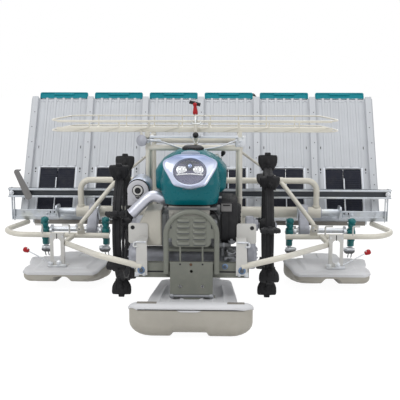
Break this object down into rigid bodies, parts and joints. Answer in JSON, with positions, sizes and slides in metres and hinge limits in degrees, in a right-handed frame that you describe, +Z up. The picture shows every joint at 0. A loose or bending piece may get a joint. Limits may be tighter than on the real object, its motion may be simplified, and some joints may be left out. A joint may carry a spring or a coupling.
{
  "type": "walk-behind six-row rice transplanter",
  "caption": "Walk-behind rice transplanter: teal hood, paddle wheels, floats, planting arms and a wide tilted seedling tray.",
  "frame": {"origin": "on the ground, below the middle of the machine's box", "axes": "-Y forwards, +X to the machine's left, +Z up"},
  "size_m": [1.944, 2.3, 0.901],
  "materials": {
    "cream_paint": "satin",
    "olive_paint": "satin",
    "teal_paint": "gloss",
    "teal_cast": "gloss",
    "teal_light": "matte",
    "tray_plastic": "matte",
    "belt_rubber": "matte",
    "wheel_rubber": "matte",
    "zinc": "satin",
    "white_paint": "satin",
    "cast_grey": "cast",
    "engine_dark": "cast",
    "black_plastic": "matte",
    "float_plastic": "matte",
    "lamp_clear": "gloss",
    "muffler_steel": "satin",
    "bar_grey": "satin"
  },
  "bodies": {
    "machine": {"belt_cover": "cream_paint", "centre_float": "float_plastic", "chassis": "olive_paint", "clutch_levers": "zinc", "console": "black_plastic", "end_arm": "bar_grey", "engine": "engine_dark", "exhaust_elbow": "muffler_steel", "float_hangers": "white_paint", "float_link": "zinc", "front_guard": "olive_paint", "front_plate": "olive_paint", "fuel_cap": "black_plastic", "grips": "black_plastic", "guide_bar": "bar_grey", "handlebars": "cream_paint", "headlamp": "lamp_clear", "hood": "teal_paint", "left_float": "float_plastic", "lift_cylinder": "zinc", "lock_levers": "zinc", "louvre_plate": "olive_paint", "muffler": "muffler_steel", "planting_beam": "cream_paint", "planting_cases": "cast_grey", "rack_frame": "cream_paint", "rail_brackets": "bar_grey", "recoil_housing": "black_plastic", "release_levers": "zinc", "right_float": "float_plastic", "rocker_links": "zinc", "seedling_rack": "white_paint", "side_guards": "cream_paint", "spine": "cast_grey", "stays": "cream_paint", "straps": "white_paint", "transmission": "cast_grey", "tray_rail": "zinc", "tray_support": "cream_paint", "upper_frame": "cream_paint"},
    "tray": {"seedling_tray": "tray_plastic", "tray_dividers": "tray_plastic", "feed_belts": "belt_rubber", "tray_extensions": "teal_light", "press_rods": "white_paint"},
    "cranks": {"planting_cranks": "zinc"},
    "arms": {"planting_arms": "teal_cast", "planting_claws": "zinc"},
    "right_leg": {"right_swing_leg": "cast_grey"},
    "left_leg": {"left_swing_leg": "cast_grey"},
    "right_wheel": {"right_wheel": "wheel_rubber"},
    "left_wheel": {"left_wheel": "wheel_rubber"}
  },
  "joints": [
    {"name": "tray_traverse", "type": "slide", "parent": "machine", "child": "tray", "axis": [1, 0, 0], "range_m": [-0.14, 0.14]},
    {"name": "crank_drive", "type": "hinge", "parent": "machine", "child": "cranks", "pos_m": [0, -0.142, 0.235], "axis": [1, 0, 0], "continuous": true},
    {"name": "arm_swing", "type": "hinge", "parent": "cranks", "child": "arms", "pos_m": [0, -0.178, 0.235], "axis": [1, 0, 0], "continuous": true},
    {"name": "right_leg_lift", "type": "hinge", "parent": "machine", "child": "right_leg", "pos_m": [-0.25, -0.74, 0.25], "axis": [1, 0, 0], "range_deg": [-34, 8]},
    {"name": "left_leg_lift", "type": "hinge", "parent": "machine", "child": "left_leg", "pos_m": [0.25, -0.74, 0.25], "axis": [1, 0, 0], "range_deg": [-34, 8]},
    {"name": "right_wheel_spin", "type": "hinge", "parent": "right_leg", "child": "right_wheel", "pos_m": [-0.328, -0.48, 0.33], "axis": [1, 0, 0], "continuous": true},
    {"name": "left_wheel_spin", "type": "hinge", "parent": "left_leg", "child": "left_wheel", "pos_m": [0.328, -0.48, 0.33], "axis": [1, 0, 0], "continuous": true}
  ],
  "couplings": [
    {"joint": "arm_swing", "follows": "crank_drive", "ratio": -1}
  ]
}
